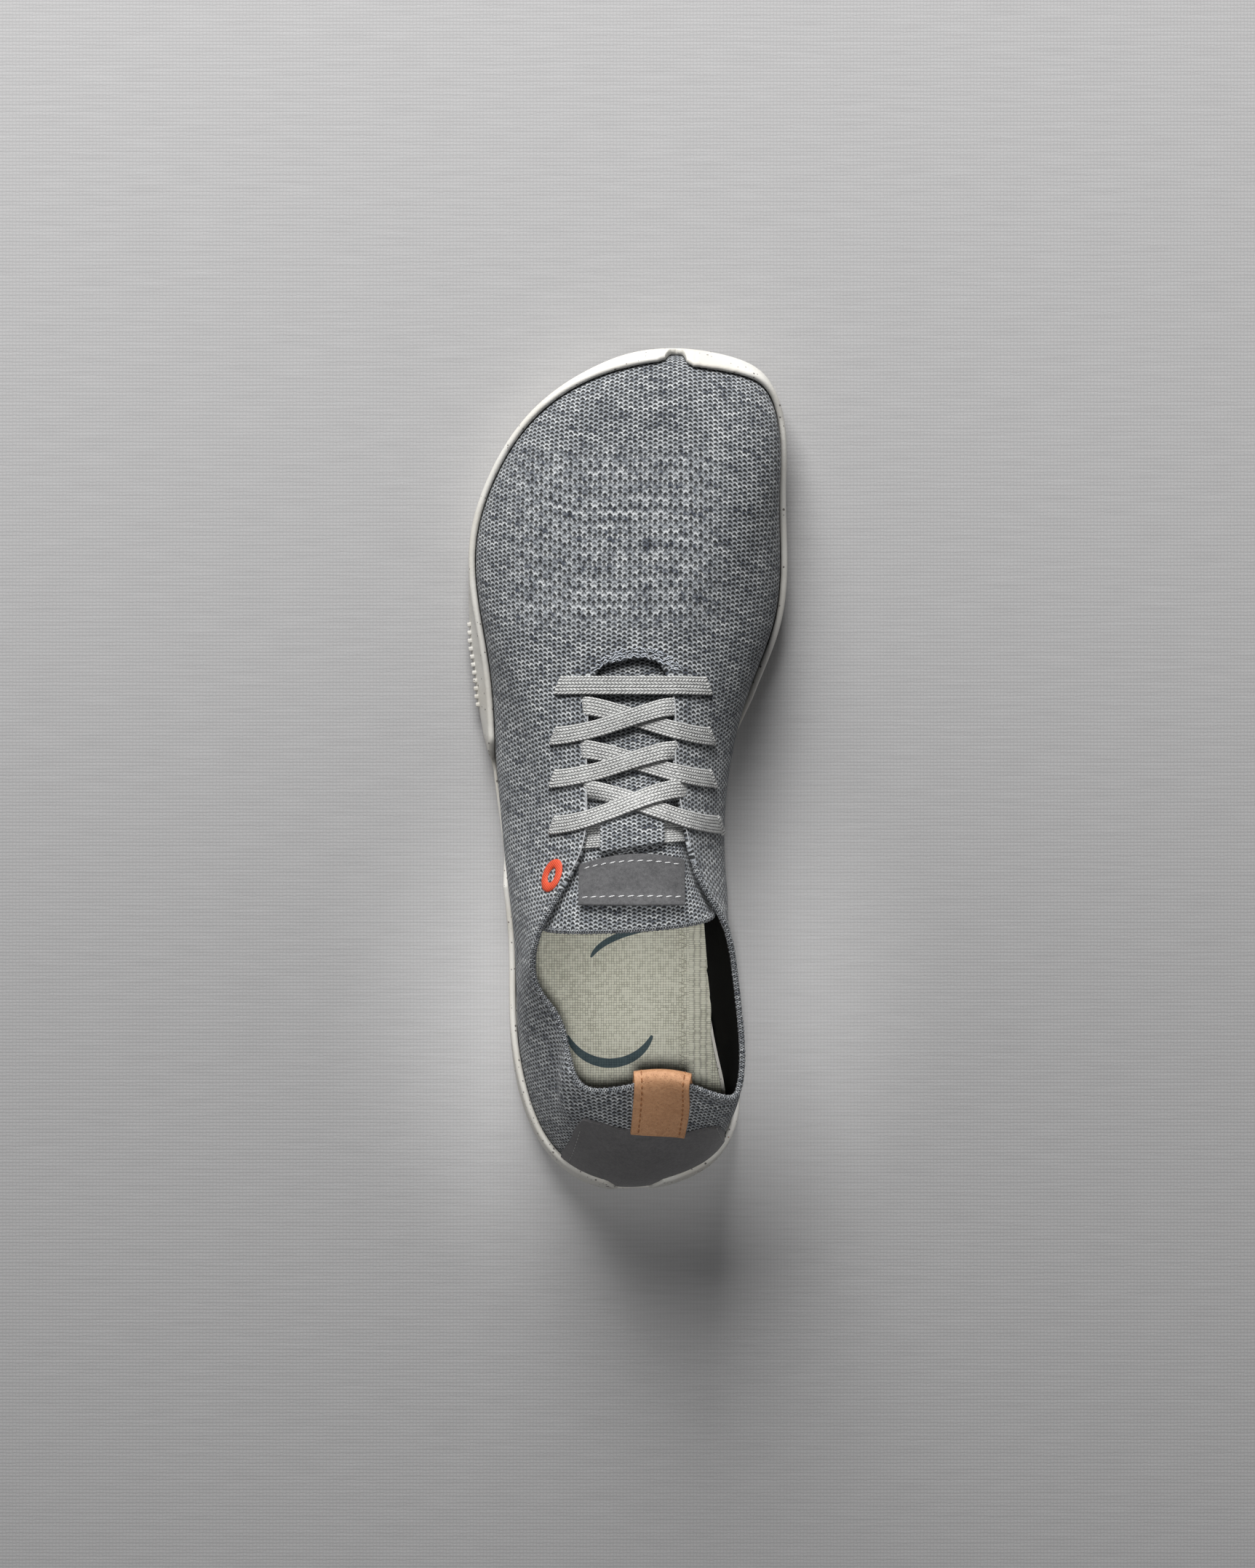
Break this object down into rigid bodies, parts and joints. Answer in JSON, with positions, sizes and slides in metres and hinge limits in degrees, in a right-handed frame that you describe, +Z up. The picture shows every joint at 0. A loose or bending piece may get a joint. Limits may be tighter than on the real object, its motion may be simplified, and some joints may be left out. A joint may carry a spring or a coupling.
{
  "type": "barefoot shoe",
  "caption": "Low barefoot shoe for the left foot: knitted upper laced over a tongue, thin flexible cupped sole with flex grooves, flat insole, suede heel patch and leather pull tab.",
  "frame": {"origin": "centre of the shoe's box on the floor it stands on", "axes": "+Y towards the toes, +X towards the big toe's side, +Z up"},
  "size_m": [0.105, 0.2756, 0.0781],
  "materials": {
    "sole": "satin rubber with fine cork specks",
    "knit": "melange stockinette knit",
    "insole": "plain woven cloth",
    "suede": "matt microfibre suede",
    "tab": "natural tan",
    "lace": "flat braided cord"
  },
  "bodies": {
    "root": {"outsole": "sole", "upper": "knit", "insole": "insole", "tongue": "knit", "tongue_keeper": "knit", "tongue_label": "suede", "heel_patch": "suede", "pull_tab": "tab", "lace_bar_1": "lace", "lace_cross_2": "lace", "lace_cross_3": "lace", "lace_cross_4": "lace", "lace_tail_1": "lace", "lace_tail_2": "lace"}
  },
  "joints": []
}
